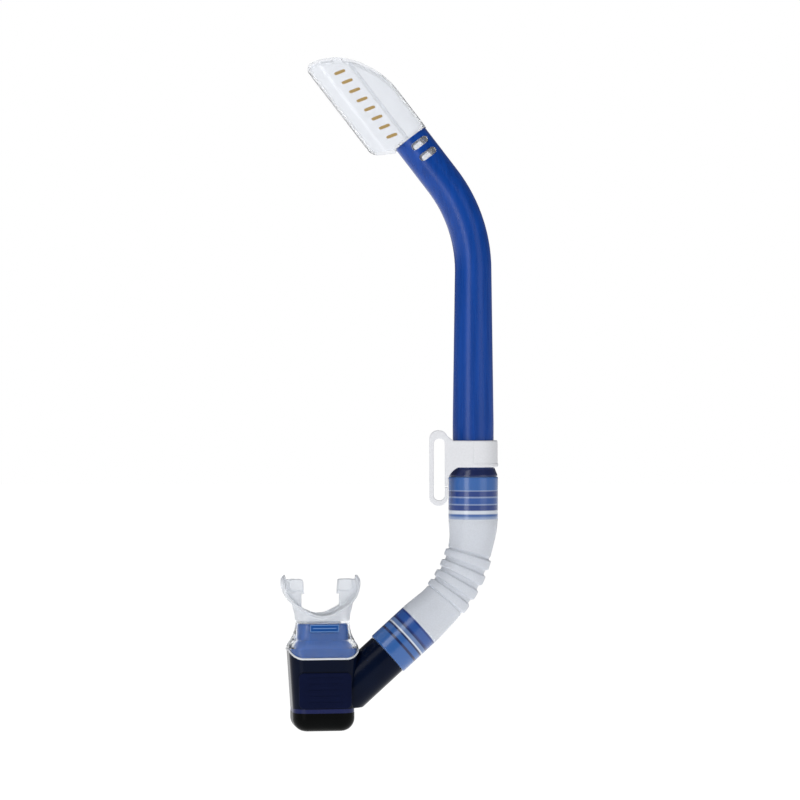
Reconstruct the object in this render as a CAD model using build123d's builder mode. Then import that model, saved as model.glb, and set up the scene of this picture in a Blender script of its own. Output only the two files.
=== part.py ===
"""Snorkel tube: vented splash guard, bent barrel, strap keeper, bellows hose, purge body and mouthpiece.

Millimetres. The origin is the centre of the keeper's strap slot. +Z runs up the barrel, +X runs from the
strap slot towards the barrel, and the barrel and the hose bend in the plane y = BARREL_Y. Everything below
the barrel is drawn in that plane and turned about the barrel's axis by REST_SWIVEL as it is saved.
"""

import os
from math import cos, pi, radians, sin

from build123d import *

# ---- keeper -------------------------------------------------------------------------------------------
KEEPER_RADIUS = 16.2
KEEPER_FOOT_Z = 1.3
KEEPER_TOP_Z = 18.6
KEEPER_LIP = 2.4  # height of the thicker band at the ring's foot
LOOP_DEPTH = 4.8
SLOT_SIZE = (7.2, 40.0)
LOOP_LEFT = -6.4
LOOP_RIGHT = 5.4
LOOP_TOP_Z = 25.3
LOOP_FOOT_Z = -23.4
HOOK_GAP = 0.6  # the loop is open here so that a strap can be slipped in
HOOK_GAP_Z = -11.1

# ---- barrel -------------------------------------------------------------------------------------------
BARREL_X = 22.2
BARREL_Y = KEEPER_RADIUS - LOOP_DEPTH / 2  # the loop is tangent to the front of the keeper's ring
BARREL_RADIUS = 13.3  # round lower end
BARREL_WALL = 1.7
OVAL_X = 11.9  # half width of the upper end, in the bend plane
OVAL_Y = 13.3
BARREL_FOOT_Z = 0.8
ROUND_TOP_Z = 30.0
BEND_START_Z = 129.0
BEND_RADIUS = 96.0
BEND_ANGLE = 37.5
TOP_RUN = 34.0
RUNNING_GAP = 0.08  # radial clearance of the parts that turn on each other

# ---- splash guard, in a frame at the barrel's upper end: first number left, second number up ----------
GUARD_LEFT = 26.5
GUARD_RIGHT = -12.4
GUARD_TIP = 78.4
GUARD_HALF_DEPTH = 13.8
GUARD_CORNER = 11.0
GUARD_WALL = 1.5
PLUG_LENGTH = 21.5
PLUG_WALL = 1.4
WINDOW_STATIONS = (6.2, 15.0)  # snap windows, measured down from the barrel's upper end
WINDOW_SIZE = (12.6, 4.8)
WINDOW_OFFSET = -2.4
BAFFLE_LEFT = 2.6
BAFFLE_THICKNESS = 1.4

# ---- hose ---------------------------------------------------------------------------------------------
REST_SWIVEL = 8.5
CUFF_TOP_Z = -4.9
CUFF_RADIUS = 16.1
LOWER_CUFF_RADIUS = 15.4
FLARE_RADIUS = 15.7
SPIGOT_LENGTH = 27.0
SPIGOT_RADIUS = 13.7
LOWER_SPIGOT_RADIUS = 13.2
SPIGOT_BORE = 11.6
HOSE_STRAIGHT = 29.1
HOSE_BEND_RADIUS = 78.0
HOSE_ANGLES = (14.5, 26.5, 7.0)  # smooth upper stretch, bellows, smooth lower stretch
HOSE_TAIL = 41.5  # straight run from the bend to the end of the lower cuff
HOSE_BORE = 11.7
HOSE_RADIUS = 14.3  # where the smooth hose meets the bellows
RIDGE_RADIUS = 15.4
VALLEY_RADIUS = 13.5
RIDGE_COUNT = 4
BELLOWS_WALL = 1.6
END_GAP = 0.3

# ---- purge body ---------------------------------------------------------------------------------------
BODY_X = BARREL_X - 98.8
BODY_DEPTH = 33.0
BODY_TOP_WIDTH = 45.4
BODY_FOOT_WIDTH = 40.0
BODY_CORNER = 10.0
BODY_WALL = 2.2
BODY_TOP_Z = -111.6
BODY_FOOT_Z = -153.2
SADDLE_Z = -121.7
SADDLE_HALF_FLAT = 14.0
SADDLE_RADIUS = 9.5
PIPE_RADIUS = 14.5
PIPE_BORE = 12.3
PIPE_RUN = 42.0
SOCKET_DEPTH = 9.0
PANEL_SIZE = (34.0, 22.8)
PANEL_Z = -141.3
PANEL_CORNER = 3.2
PANEL_THICKNESS = 1.2
PANEL_GROOVE = 0.7

SEAT_FOOT_Z = -155.9
PORT_RADIUS = 11.4
VALVE_RADIUS = 12.8
VALVE_TRAVEL = 1.5
STEM_RADIUS = 1.8
CAP_FOOT_Z = -168.0
CAP_WALL = 1.8
CAP_CORNER = 8.5

# ---- mouthpiece ---------------------------------------------------------------------------------------
SKIN = 1.4
SHOULDER_TOP_Z = -114.8
WAIST_Z = -110.0
WAIST_SIZE = (33.8, 22.6)
NECK_TOP_Z = -98.9
NECK_SIZE = (32.4, 21.0)
NECK_WALL = 1.8
NECK_CORNER = 8.5
LATCH_SIZE = (19.0, 5.2)
LATCH_Z = -101.6
BITE_X = BODY_X - 1.3
BITE_TOP_Z = -68.5
BITE_HALF_WIDTH = 24.8
BITE_FLOOR_Z = -93.8
BITE_THICKNESS = 2.4
BITE_HALF_HEIGHT = 15.5
BITE_HOLE = (25.0, 13.5)

BARREL_AXIS = Axis((BARREL_X, BARREL_Y, 0), (0, 0, 1))


def at(x, z, y=0.0):
    """A point in the bend plane, or y in front of (negative) or behind it."""
    return (x, BARREL_Y + y, z)


def level(x, z):
    """A horizontal plane on the bend plane."""
    return Plane(at(x, z), x_dir=(1, 0, 0), z_dir=(0, 0, 1))


def upright(x=0.0, z=0.0, y=0.0):
    """A plane that faces the front: local x is +X and local y is +Z."""
    return Plane(at(x, z, y), x_dir=(1, 0, 0), z_dir=(0, -1, 0))


def across(path, t):
    """A plane square to a path at t; its local x points to the back."""
    return Plane(path @ t, x_dir=(0, 1, 0), z_dir=path % t)


# ---- centrelines --------------------------------------------------------------------------------------
with BuildLine(upright()) as barrel_path:
    barrel_bend = JernArc((BARREL_X, BEND_START_Z), (0, 1), BEND_RADIUS, BEND_ANGLE)
    barrel_top = Line(barrel_bend @ 1, barrel_bend @ 1 + TOP_RUN * (barrel_bend % 1))

with BuildLine(upright()) as hose_path:
    hose_run = Line((BARREL_X, CUFF_TOP_Z), (BARREL_X, CUFF_TOP_Z - HOSE_STRAIGHT))
    hose_neck = JernArc(hose_run @ 1, hose_run % 1, HOSE_BEND_RADIUS, -HOSE_ANGLES[0])
    hose_folds = JernArc(hose_neck @ 1, hose_neck % 1, HOSE_BEND_RADIUS, -HOSE_ANGLES[1])
    hose_foot = JernArc(hose_folds @ 1, hose_folds % 1, HOSE_BEND_RADIUS, -HOSE_ANGLES[2])
    hose_tail = Line(hose_foot @ 1, hose_foot @ 1 + HOSE_TAIL * (hose_foot % 1))


BARREL_END = barrel_top @ 1
UP_TOP = barrel_top % 1
LEFT_TOP = Vector(-UP_TOP.Z, 0, UP_TOP.X)
GUARD_FACE = Plane(BARREL_END, x_dir=LEFT_TOP, z_dir=(0, 1, 0))
GUARD_LEVEL = Plane(BARREL_END, x_dir=LEFT_TOP, z_dir=UP_TOP)

PIPE_END = hose_tail @ 1
PIPE_DOWN = hose_tail % 1
UPPER_ROOT = Plane(at(BARREL_X, CUFF_TOP_Z + END_GAP), x_dir=(0, 1, 0), z_dir=(0, 0, -1))
LOWER_ROOT = Plane(PIPE_END - END_GAP * PIPE_DOWN, x_dir=(0, 1, 0), z_dir=-PIPE_DOWN)
PIPE_MOUTH = Plane(PIPE_END, x_dir=(0, 1, 0), z_dir=PIPE_DOWN)


def spigot_outline(radius, gap=0.0):
    """Half outline of a ringed spigot as (radius, distance from its root), grown by gap."""
    outline = [(radius + gap, 0)]
    for station in (10.2, 14.2, 18.0):
        outline += [(radius + gap, station - 0.8 - gap), (radius + 0.5 + gap, station - 0.3 - gap)]
        outline += [(radius + 0.5 + gap, station + 0.3 + gap), (radius + gap, station + 0.8 + gap)]
    outline += [(radius + gap, 22.0 + gap), (radius - 0.7 + gap, 22.4 + gap)]
    outline += [(radius - 0.7 + gap, 23.4 - gap), (radius + gap, 23.8 - gap)]
    outline += [(radius + gap, SPIGOT_LENGTH + gap)]
    return outline


def half_section(outline):
    """Closes a half outline on the axis."""
    return [(0, outline[0][1]), *outline, (0, outline[-1][1])]


def turning_plane(plane):
    """The plane that holds a revolved part's half section: local x is radial, local y runs along it."""
    return Plane(plane.origin, x_dir=plane.x_dir, z_dir=plane.x_dir.cross(plane.z_dir))


# ---- keeper -------------------------------------------------------------------------------------------
with BuildPart() as keeper_ring:
    with BuildSketch(level(BARREL_X, KEEPER_FOOT_Z)):
        Circle(KEEPER_RADIUS)
    extrude(amount=KEEPER_LIP)
    fillet(edges().sort_by(Axis.Z)[0], radius=0.9)
    fillet(edges().sort_by(Axis.Z)[-1], radius=0.25)
    with BuildSketch(level(BARREL_X, KEEPER_FOOT_Z + KEEPER_LIP - 0.5)):
        Circle(KEEPER_RADIUS - 0.3)
    extrude(amount=KEEPER_TOP_Z - KEEPER_FOOT_Z - KEEPER_LIP + 0.5)
    fillet(edges().sort_by(Axis.Z)[-1], radius=0.9)

with BuildPart() as keeper:
    with BuildSketch(upright(y=-BARREL_Y)):
        with BuildLine():
            left, right, top, foot = LOOP_LEFT, LOOP_RIGHT, LOOP_TOP_Z, LOOP_FOOT_Z
            Polyline((left, foot), (right, foot), (right, top), (left, top), close=True)
        make_face()
        fillet(vertices(), radius=5.6)
        with BuildLine():
            tongue = ThreePointArc((5.4, HOOK_GAP_Z), (6.9, -3.4), (12.2, KEEPER_FOOT_Z))
            Polyline(tongue @ 1, (BARREL_X, KEEPER_FOOT_Z), (BARREL_X, KEEPER_TOP_Z),
                     (9.2, KEEPER_TOP_Z), (4.6, 22.0), (3.0, 22.0), (3.0, HOOK_GAP_Z), tongue @ 0)
        make_face()
        SlotOverall(SLOT_SIZE[1], SLOT_SIZE[0], rotation=90, mode=Mode.SUBTRACT)
        with Locations((5.4, HOOK_GAP_Z)):
            Rectangle(5.0, HOOK_GAP, mode=Mode.SUBTRACT)
    extrude(amount=LOOP_DEPTH / 2, both=True)
    fillet(faces().sort_by(Axis.Y)[0].edges() + faces().sort_by(Axis.Y)[-1].edges(), radius=0.7)
    add(keeper_ring.part)
    with BuildSketch(level(BARREL_X, KEEPER_FOOT_Z - 5)):
        Circle(BARREL_RADIUS + RUNNING_GAP)
    extrude(amount=30, mode=Mode.SUBTRACT)

# ---- barrel -------------------------------------------------------------------------------------------
with BuildPart() as barrel:
    for inset, mode in ((0, Mode.ADD), (BARREL_WALL, Mode.SUBTRACT)):
        with BuildSketch(level(BARREL_X, BARREL_FOOT_Z)):
            Circle(BARREL_RADIUS - inset)
        extrude(amount=ROUND_TOP_Z - BARREL_FOOT_Z, mode=mode)
        with BuildSketch(level(BARREL_X, ROUND_TOP_Z)):
            Circle(BARREL_RADIUS - inset)
        with BuildSketch(level(BARREL_X, BEND_START_Z)):
            Ellipse(OVAL_X - inset, OVAL_Y - inset)
        loft(mode=mode)
        with BuildSketch(level(BARREL_X, BEND_START_Z)):
            Ellipse(OVAL_X - inset, OVAL_Y - inset)
        sweep(path=barrel_path.wire(), mode=mode)
    with BuildSketch(GUARD_FACE):
        with Locations(*[(WINDOW_OFFSET, -station) for station in WINDOW_STATIONS]):
            SlotOverall(*WINDOW_SIZE)
    extrude(amount=20, both=True, mode=Mode.SUBTRACT)

# ---- splash guard -------------------------------------------------------------------------------------
GUARD_MIDDLE = (GUARD_LEFT + GUARD_RIGHT) / 2
hoods = []
for inset, foot in ((0, 0.1), (GUARD_WALL, -12.0)):  # outside and inside of the hood
    with BuildPart() as hood:
        with BuildSketch(GUARD_FACE):
            with BuildLine():
                right_edge = Line((GUARD_RIGHT, foot), (GUARD_RIGHT, 28))
                shoulder = TangentArc(right_edge @ 1, (1.0, 64.7), tangent=right_edge % 1)
                brow = TangentArc(shoulder @ 1, (GUARD_LEFT, GUARD_TIP), tangent=shoulder % 1)
                Polyline(brow @ 1, (GUARD_LEFT, min(foot, 0) + 7.5), (12.6, foot - 0.9),
                         (12.0, foot), right_edge @ 0)
            make_face()
            leftmost = vertices().group_by(Axis.X)[-1].sort_by(Axis.Y)
            fillet(leftmost[-1], radius=3.4)
            fillet(vertices().group_by(Axis.X)[-1].sort_by(Axis.Y)[0], radius=7.5)
            if inset:
                offset(amount=-inset, mode=Mode.REPLACE)
        extrude(amount=GUARD_HALF_DEPTH - inset, both=True)
        with BuildSketch(GUARD_LEVEL.offset(-20)):
            with Locations((GUARD_MIDDLE, 0)):
                RectangleRounded(GUARD_LEFT - GUARD_RIGHT - 2 * inset,
                                 2 * (GUARD_HALF_DEPTH - inset), GUARD_CORNER - inset)
        extrude(amount=110, mode=Mode.INTERSECT)
    hoods.append(hood.part)

with BuildPart() as splash_guard:
    add(hoods[0])
    add(hoods[1], mode=Mode.SUBTRACT)
    with BuildSketch(GUARD_LEVEL.offset(0.1)):  # floor that rests on the barrel's end
        with Locations((GUARD_MIDDLE, 0)):
            RectangleRounded(GUARD_LEFT - GUARD_RIGHT, 2 * GUARD_HALF_DEPTH, GUARD_CORNER)
        with Locations((GUARD_LEFT - 7.0, 0)):
            Rectangle(14.0, 40.0, mode=Mode.SUBTRACT)
    extrude(amount=1.5)
    with BuildSketch(GUARD_LEVEL.offset(-PLUG_LENGTH)):  # plug inside the barrel
        Ellipse(OVAL_X - BARREL_WALL - 0.05, OVAL_Y - BARREL_WALL - 0.05)
    extrude(amount=PLUG_LENGTH + 0.5)
    with BuildSketch(GUARD_FACE):  # lugs that snap into the barrel's windows
        with Locations(*[(WINDOW_OFFSET, -station) for station in WINDOW_STATIONS]):
            SlotOverall(WINDOW_SIZE[0] - 0.4, WINDOW_SIZE[1] - 0.4)
    extrude(amount=OVAL_Y - 0.6, both=True)
    with BuildSketch(GUARD_LEVEL.offset(-PLUG_LENGTH - 1)):
        inner = BARREL_WALL + 0.05 + PLUG_WALL
        Ellipse(OVAL_X - inner, OVAL_Y - inner)
    extrude(amount=PLUG_LENGTH + 4, mode=Mode.SUBTRACT)
    with BuildSketch(GUARD_LEVEL.offset(40)):  # vent slot in the brow, just left of the baffle
        with Locations((BAFFLE_LEFT + BAFFLE_THICKNESS + 2.6, 0)):
            Rectangle(4.2, 15.0)
    extrude(amount=50, mode=Mode.SUBTRACT)

with BuildPart() as baffle:
    inside = GUARD_HALF_DEPTH - GUARD_WALL - 0.1
    with BuildSketch(GUARD_FACE):
        with BuildLine():
            Polyline((BAFFLE_LEFT - 1.4, 1.7), (BAFFLE_LEFT - 1.4 + BAFFLE_THICKNESS, 1.7),
                     (BAFFLE_LEFT, 63.5), (BAFFLE_LEFT - BAFFLE_THICKNESS, 62.2), close=True)
        make_face()
    extrude(amount=inside, both=True)

# ---- barrel adapter -----------------------------------------------------------------------------------
with BuildPart() as barrel_adapter:
    with BuildSketch(turning_plane(UPPER_ROOT)):
        with BuildLine():
            plug = BARREL_RADIUS - BARREL_WALL - 0.03
            rise = BARREL_FOOT_Z - CUFF_TOP_Z - END_GAP
            outline = [(plug, -rise - 13.0), (plug, -rise), (BARREL_RADIUS + 0.6, -rise)]
            outline += [(FLARE_RADIUS, -1.0), (FLARE_RADIUS, 0.0)]
            outline += spigot_outline(SPIGOT_RADIUS)
            Polyline(half_section(outline), close=True)
        make_face()
    revolve(axis=Axis(UPPER_ROOT.origin, UPPER_ROOT.z_dir))
    with BuildSketch(level(BARREL_X, 40)):
        Circle(SPIGOT_BORE - 1.2)
    extrude(amount=-90, mode=Mode.SUBTRACT)

# ---- hose ---------------------------------------------------------------------------------------------
STEPS = 6
with BuildPart() as hose_upper_cuff:
    with BuildSketch(level(BARREL_X, CUFF_TOP_Z)):
        Circle(CUFF_RADIUS)
    extrude(amount=-HOSE_STRAIGHT)
    for step in range(STEPS + 1):
        share = (1 - cos(pi * step / STEPS)) / 2
        with BuildSketch(across(hose_neck, step / STEPS)):
            Circle(CUFF_RADIUS + share * (HOSE_RADIUS - CUFF_RADIUS))
    loft(ruled=True)
    with BuildSketch(turning_plane(UPPER_ROOT)):
        with BuildLine():
            Polyline(half_section(spigot_outline(SPIGOT_RADIUS, RUNNING_GAP)), close=True)
        make_face()
    revolve(axis=Axis(UPPER_ROOT.origin, UPPER_ROOT.z_dir), mode=Mode.SUBTRACT)
    with BuildSketch(level(BARREL_X, CUFF_TOP_Z - 1)):
        Circle(HOSE_BORE)
    extrude(amount=1 - HOSE_STRAIGHT, mode=Mode.SUBTRACT)
    with BuildSketch(across(hose_neck, 0)):
        Circle(HOSE_BORE)
    sweep(path=hose_neck, mode=Mode.SUBTRACT)

with BuildPart() as hose_bellows:
    for wall, mode in ((0, Mode.ADD), (BELLOWS_WALL, Mode.SUBTRACT)):
        last = 8 * RIDGE_COUNT
        for step in range(last + 1):
            wave = (1 - cos(2 * pi * step / 8)) / 2
            with BuildSketch(across(hose_folds, step / last)):
                Circle(VALLEY_RADIUS + wave * (RIDGE_RADIUS - VALLEY_RADIUS) - wall)
        loft(ruled=True, mode=mode)

with BuildPart() as hose_lower_cuff:
    for step in range(3):
        with BuildSketch(across(hose_foot, step / 2)):
            Circle(HOSE_RADIUS + 0.2 * step)
    loft(ruled=True)
    with BuildSketch(across(hose_foot, 1)):
        Circle(HOSE_RADIUS + 0.4)
    with BuildSketch(across(hose_tail, 0.3)):
        Circle(LOWER_CUFF_RADIUS)
    loft()
    with BuildSketch(across(hose_tail, 0.3)):
        Circle(LOWER_CUFF_RADIUS)
    extrude(amount=0.7 * HOSE_TAIL - END_GAP)
    with BuildSketch(turning_plane(LOWER_ROOT)):
        with BuildLine():
            Polyline(half_section(spigot_outline(LOWER_SPIGOT_RADIUS, RUNNING_GAP)), close=True)
        make_face()
    revolve(axis=Axis(LOWER_ROOT.origin, LOWER_ROOT.z_dir), mode=Mode.SUBTRACT)
    with BuildSketch(across(hose_foot, 0)):
        Circle(HOSE_BORE)
    sweep(path=hose_foot, mode=Mode.SUBTRACT)
    with BuildSketch(across(hose_tail, 0)):
        Circle(HOSE_BORE)
    extrude(amount=HOSE_TAIL, mode=Mode.SUBTRACT)

with BuildPart() as pipe_adapter:
    with BuildSketch(turning_plane(LOWER_ROOT)):
        with BuildLine():
            plug = PIPE_BORE - 0.03
            outline = [(plug, -SOCKET_DEPTH - END_GAP), (plug, -END_GAP), (LOWER_SPIGOT_RADIUS, -END_GAP)]
            outline += spigot_outline(LOWER_SPIGOT_RADIUS)
            Polyline(half_section(outline), close=True)
        make_face()
    revolve(axis=Axis(LOWER_ROOT.origin, LOWER_ROOT.z_dir))
    with BuildSketch(LOWER_ROOT.offset(-20)):
        Circle(SPIGOT_BORE - 1.0)
    extrude(amount=60, mode=Mode.SUBTRACT)


# ---- purge body ---------------------------------------------------------------------------------------
def body_width(z):
    """Width of the tapered body at a height."""
    share = (z - BODY_FOOT_Z) / (BODY_TOP_Z - BODY_FOOT_Z)
    return BODY_FOOT_WIDTH + share * (BODY_TOP_WIDTH - BODY_FOOT_WIDTH)


def saddle(grow=0.0, side=1):
    """Points of the saddle between body and mouthpiece, from its flat floor out to its rising edge."""
    reach = SADDLE_RADIUS - grow
    centre = (SADDLE_HALF_FLAT, SADDLE_Z + SADDLE_RADIUS)
    angles = (-90, -45, 0)
    return [(side * (centre[0] + reach * cos(radians(a))), centre[1] + reach * sin(radians(a)))
            for a in angles]


with BuildSketch(upright(BODY_X, 0)) as saddle_space:  # everything above the saddle's surface
    with BuildLine():
        right_arc = ThreePointArc(*saddle())
        left_arc = ThreePointArc(*saddle(side=-1))
        Line(left_arc @ 0, right_arc @ 0)
        Polyline(right_arc @ 1, (SADDLE_HALF_FLAT + SADDLE_RADIUS, -90.0),
                 (-SADDLE_HALF_FLAT - SADDLE_RADIUS, -90.0), left_arc @ 1)
    make_face()

with BuildPart() as valve_body:
    with BuildSketch(PIPE_MOUTH):
        Circle(PIPE_RADIUS)
    extrude(amount=PIPE_RUN)
    for z in (BODY_FOOT_Z, BODY_TOP_Z):
        with BuildSketch(level(BODY_X, z)):
            RectangleRounded(body_width(z), BODY_DEPTH, BODY_CORNER)
    loft()
    with BuildSketch(level(BODY_X, BODY_FOOT_Z)):
        Rectangle(120, 60)
    extrude(amount=-30, mode=Mode.SUBTRACT)
    add(extrude(saddle_space.sketch, amount=30, both=True, mode=Mode.PRIVATE), mode=Mode.SUBTRACT)
    for z in (BODY_FOOT_Z - 1, BODY_TOP_Z + 1):
        with BuildSketch(level(BODY_X, z)):
            RectangleRounded(body_width(z) - 2 * BODY_WALL, BODY_DEPTH - 2 * BODY_WALL,
                             BODY_CORNER - BODY_WALL)
    loft(mode=Mode.SUBTRACT)
    with BuildSketch(PIPE_MOUTH.offset(-1)):
        Circle(PIPE_BORE)
    extrude(amount=PIPE_RUN - 10, mode=Mode.SUBTRACT)
    with BuildSketch(upright(BODY_X, PANEL_Z, -BODY_DEPTH / 2 - 1)):  # recess for the front panel
        RectangleRounded(PANEL_SIZE[0] + 2 * PANEL_GROOVE, PANEL_SIZE[1] + 2 * PANEL_GROOVE,
                         PANEL_CORNER + PANEL_GROOVE)
    extrude(amount=-1 - PANEL_THICKNESS / 2, mode=Mode.SUBTRACT)

with BuildPart() as front_panel:
    with BuildSketch(upright(BODY_X, PANEL_Z, -BODY_DEPTH / 2 + PANEL_THICKNESS / 2)):
        RectangleRounded(*PANEL_SIZE, PANEL_CORNER)
    extrude(amount=PANEL_THICKNESS)
    fillet(faces().sort_by(Axis.Y)[0].edges(), radius=0.5)

# ---- purge valve --------------------------------------------------------------------------------------
with BuildPart() as purge_seat:
    with BuildSketch(level(BODY_X, SEAT_FOOT_Z)):
        RectangleRounded(body_width(BODY_FOOT_Z) - 0.3, BODY_DEPTH - 0.3, BODY_CORNER - 0.15)
    extrude(amount=BODY_FOOT_Z - SEAT_FOOT_Z)
    rim = BODY_WALL + 0.05
    with BuildSketch(level(BODY_X, BODY_FOOT_Z)):  # rim that plugs into the body
        RectangleRounded(body_width(BODY_FOOT_Z) - 2 * rim, BODY_DEPTH - 2 * rim, BODY_CORNER - rim)
        RectangleRounded(body_width(BODY_FOOT_Z) - 2 * rim - 3, BODY_DEPTH - 2 * rim - 3,
                         BODY_CORNER - rim - 1.5, mode=Mode.SUBTRACT)
    extrude(amount=3.0)
    with BuildSketch(level(BODY_X, SEAT_FOOT_Z - 1)):
        Circle(PORT_RADIUS)
        Circle(STEM_RADIUS + 1.9, mode=Mode.SUBTRACT)
        for angle in (90, 210, 330):
            with Locations(Rot(0, 0, angle) * Location((PORT_RADIUS / 2, 0))):
                Rectangle(PORT_RADIUS + 2, 2.0, mode=Mode.SUBTRACT)
        Circle(STEM_RADIUS + RUNNING_GAP)
    extrude(amount=12, mode=Mode.SUBTRACT)

with BuildPart() as purge_diaphragm:
    with BuildSketch(level(BODY_X, SEAT_FOOT_Z - 0.05)):
        Circle(VALVE_RADIUS)
    extrude(amount=-1.1)
    with BuildSketch(level(BODY_X, SEAT_FOOT_Z - 1.1)):
        Circle(STEM_RADIUS)
    extrude(amount=10.0)
    with BuildSketch(level(BODY_X, BODY_FOOT_Z + 2.2)):  # bead that keeps the disc on its hub
        Circle(STEM_RADIUS + 1.0)
    extrude(amount=2.6)

bowls = []
for inset in (0, CAP_WALL):  # outside and inside of the cap
    with BuildPart() as bowl:
        with BuildSketch(level(BODY_X, CAP_FOOT_Z + inset)):
            RectangleRounded(BODY_FOOT_WIDTH - 2 * inset, BODY_DEPTH - 2 * inset, BODY_CORNER - inset)
        extrude(amount=SEAT_FOOT_Z - CAP_FOOT_Z - inset)
        fillet(faces().sort_by(Axis.Z)[0].edges(), radius=CAP_CORNER - inset)
    bowls.append(bowl.part)

with BuildPart() as purge_cap:
    add(bowls[0])
    add(bowls[1], mode=Mode.SUBTRACT)
    with BuildSketch(level(BODY_X, CAP_FOOT_Z - 1)):
        with GridLocations(5.6, 0, 5, 1):
            SlotOverall(17.0, 2.6, rotation=90)
    extrude(amount=8, mode=Mode.SUBTRACT)

# ---- mouthpiece ---------------------------------------------------------------------------------------
def neck_form(grow):
    """Outer form of the neck and its shoulder, grown by grow all round, as a solid."""
    top = body_width(BODY_TOP_Z) - 2 * SKIN + 2 * grow
    depth = BODY_DEPTH - 2 * SKIN + 2 * grow
    corner = BODY_CORNER - SKIN + grow
    levels = [(SADDLE_Z - 1, top, depth), (SHOULDER_TOP_Z + grow, top, depth),
              (WAIST_Z + grow / 2, WAIST_SIZE[0] + 2 * grow, WAIST_SIZE[1] + 2 * grow),
              (NECK_TOP_Z + grow, NECK_SIZE[0] + 2 * grow, NECK_SIZE[1] + 2 * grow)]
    form = Part()
    for low, high in zip(levels, levels[1:]):
        ends = [Plane(at(BODY_X, z)) * RectangleRounded(w, d, min(corner, NECK_CORNER + grow))
                for z, w, d in (low, high)]
        form += loft(ends)
    return form


neck_outside = neck_form(0)
neck_outside = fillet(neck_outside.faces().sort_by(Axis.Z)[-1].edges(), 1.6)
neck_clearance = neck_form(0.02)
sleeve_outside = neck_form(SKIN)
saddle_block = extrude(saddle_space.sketch, amount=40, both=True)

with BuildPart() as neck:
    add(neck_outside)
    add(saddle_block, mode=Mode.INTERSECT)
    with BuildSketch(level(BODY_X, SADDLE_Z - 4.5)):  # collar that plugs into the body
        plug = BODY_WALL + 0.3
        RectangleRounded(body_width(SADDLE_Z) - 2 * plug, BODY_DEPTH - 2 * plug, BODY_CORNER - plug)
    extrude(amount=8)
    with BuildSketch(level(BODY_X, SADDLE_Z - 6)):
        plug = BODY_WALL + 0.3 + NECK_WALL
        RectangleRounded(body_width(SADDLE_Z) - 2 * plug, BODY_DEPTH - 2 * plug, BODY_CORNER - plug)
    extrude(amount=SHOULDER_TOP_Z - SADDLE_Z + 4, mode=Mode.SUBTRACT)
    with BuildSketch(level(BODY_X, SHOULDER_TOP_Z - 3)):
        RectangleRounded(NECK_SIZE[0] - 2 * NECK_WALL, NECK_SIZE[1] - 2 * NECK_WALL,
                         NECK_CORNER - NECK_WALL)
    extrude(amount=40, mode=Mode.SUBTRACT)
    with BuildSketch(upright(BODY_X, LATCH_Z)):  # latch ribs, front and back, for the windows of the sleeve
        Rectangle(LATCH_SIZE[0] - 0.4, LATCH_SIZE[1] - 0.4)
    latch_reach = NECK_SIZE[1] / 2 + SKIN + 0.2
    extrude(amount=latch_reach, both=True)
    with BuildSketch(level(BODY_X, LATCH_Z - 10)):
        RectangleRounded(NECK_SIZE[0] - 2 * NECK_WALL, NECK_SIZE[1] - 2 * NECK_WALL,
                         NECK_CORNER - NECK_WALL)
    extrude(amount=30, mode=Mode.SUBTRACT)

with BuildPart() as bite_flange:  # curved plate in front of the teeth
    with BuildSketch(upright(BITE_X, 0)):
        for inset, mode in ((0, Mode.ADD), (BITE_THICKNESS, Mode.SUBTRACT)):
            half = BITE_HALF_WIDTH - inset
            floor = BITE_FLOOR_Z - 1.2 + inset
            corner = 12.6 - inset
            with BuildLine():
                right_side = Line((half - 1.6, -60), (half, floor + corner))
                right_arc = RadiusArc(right_side @ 1, (half - corner, floor), corner)
                base = Line(right_arc @ 1, (corner - half, floor))
                left_arc = RadiusArc(base @ 1, (-half, floor + corner), corner)
                Polyline(left_arc @ 1, (1.6 - half, -60), right_side @ 0)
            make_face(mode=mode)
    extrude(amount=30, both=True)
    with BuildSketch(Plane(at(BITE_X, -84.2), x_dir=(0, 1, 0), z_dir=(1, 0, 0))):
        Ellipse(BITE_HALF_HEIGHT, 15.7)
    extrude(amount=60, both=True, mode=Mode.INTERSECT)

with BuildPart() as bite_tabs:  # held between the teeth, one each side
    for side in (-1, 1):
        with BuildSketch(upright(BITE_X, 0)):
            with BuildLine():
                points = [(8.5, -94.6), (9.6, -88.0), (11.2, -72.0), (12.4, -70.8), (19.2, -70.8),
                          (20.4, -72.0), (20.6, -84.0), (23.9, -88.5), (18.0, -94.6)]
                Polyline(*[(side * x, z) for x, z in points], close=True)
            make_face()
        extrude(amount=2.2, both=True)
        with BuildSketch(upright(BITE_X, 0)):  # thicker end that the teeth hook behind
            with Locations((side * 15.8, -73.4)):
                RectangleRounded(9.0, 5.0, 1.2)
        extrude(amount=4.2, both=True)

with BuildPart() as mouthpiece:
    add(sleeve_outside)
    with BuildSketch(level(BODY_X, NECK_TOP_Z - 2)):
        RectangleRounded(NECK_SIZE[0] + 2 * SKIN, NECK_SIZE[1] + 2 * SKIN, NECK_CORNER + SKIN)
    extrude(amount=BITE_FLOOR_Z - NECK_TOP_Z + 1)
    add(saddle_block, mode=Mode.INTERSECT)
    add(neck_clearance, mode=Mode.SUBTRACT)
    add(bite_flange.part)
    add(bite_tabs.part)
    with BuildSketch(level(BITE_X, BITE_FLOOR_Z - 8)):  # air way through the floor of the flange
        RectangleRounded(*BITE_HOLE, 5.0)
    extrude(amount=14, mode=Mode.SUBTRACT)
    with BuildSketch(upright(BODY_X, LATCH_Z)):
        Rectangle(*LATCH_SIZE)
    extrude(amount=30, both=True, mode=Mode.SUBTRACT)

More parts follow.
